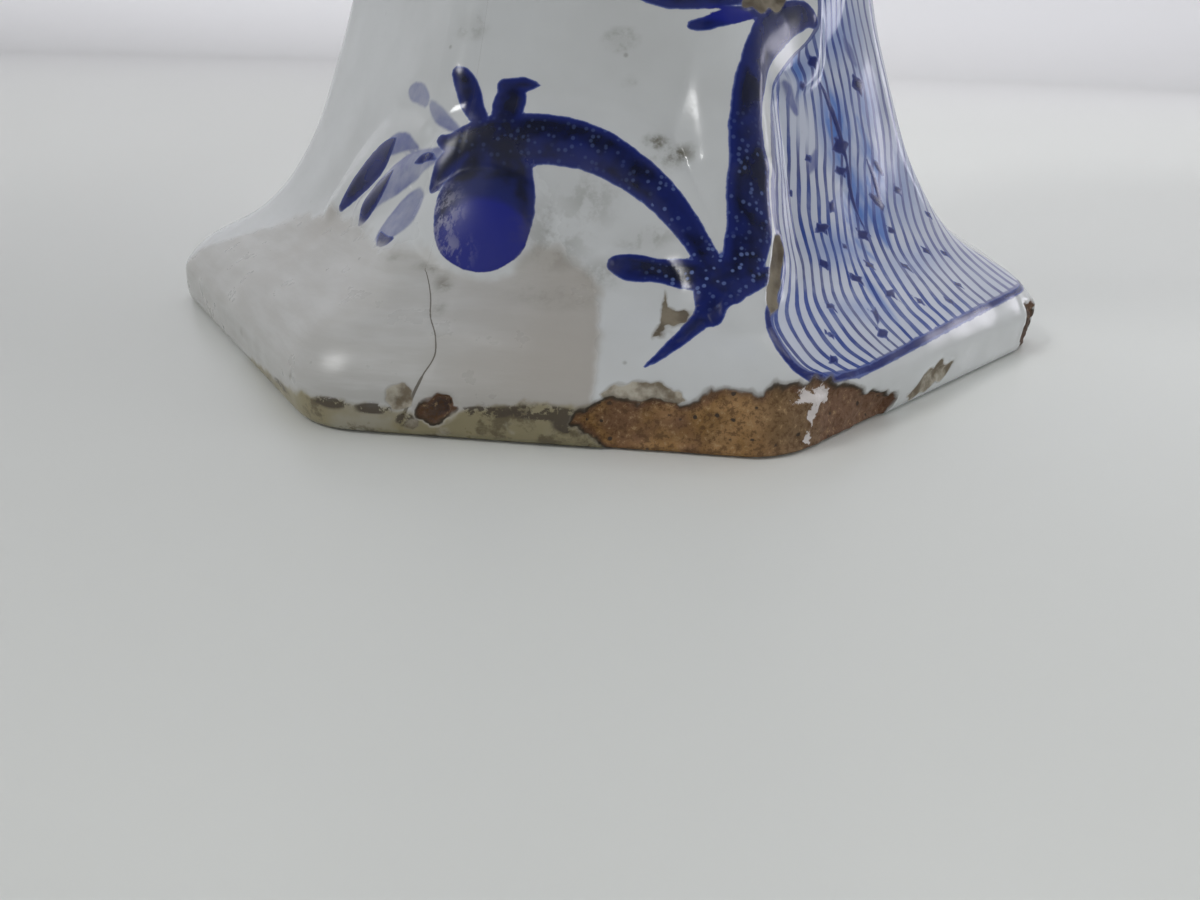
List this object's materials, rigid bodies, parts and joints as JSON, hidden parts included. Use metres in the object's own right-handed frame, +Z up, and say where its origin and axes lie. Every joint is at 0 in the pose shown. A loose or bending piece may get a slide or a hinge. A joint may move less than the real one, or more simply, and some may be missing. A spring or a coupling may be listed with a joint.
{
  "type": "lidded vase",
  "caption": "Tall eight-sided baluster vase in tin-glazed earthenware with a flared foot, collar neck and lift-off domed lid with a bud knob.",
  "frame": {"origin": "middle of the standing edge, on the surface the vase stands on", "axes": "+Z up along the vase, -Y toward the viewer of the front face, +X to that viewer's right"},
  "size_m": [0.1398, 0.1516, 0.368],
  "materials": {
    "tin_glaze": "glossy white tin glaze with cobalt painting",
    "fill_paint": "semi-matt grey retouching paint over plaster fill"
  },
  "bodies": {
    "vase": {"foot": "tin_glaze", "foot_front_fill": "fill_paint", "foot_corner_fill": "fill_paint", "body": "tin_glaze", "neck": "tin_glaze"},
    "lid": {"lid_dome": "tin_glaze", "lid_flange": "tin_glaze", "knop": "tin_glaze"}
  },
  "joints": [
    {"name": "lid_lift", "type": "slide", "parent": "vase", "child": "lid", "axis": [0, 0, 1], "range_m": [0, 0.06]}
  ]
}
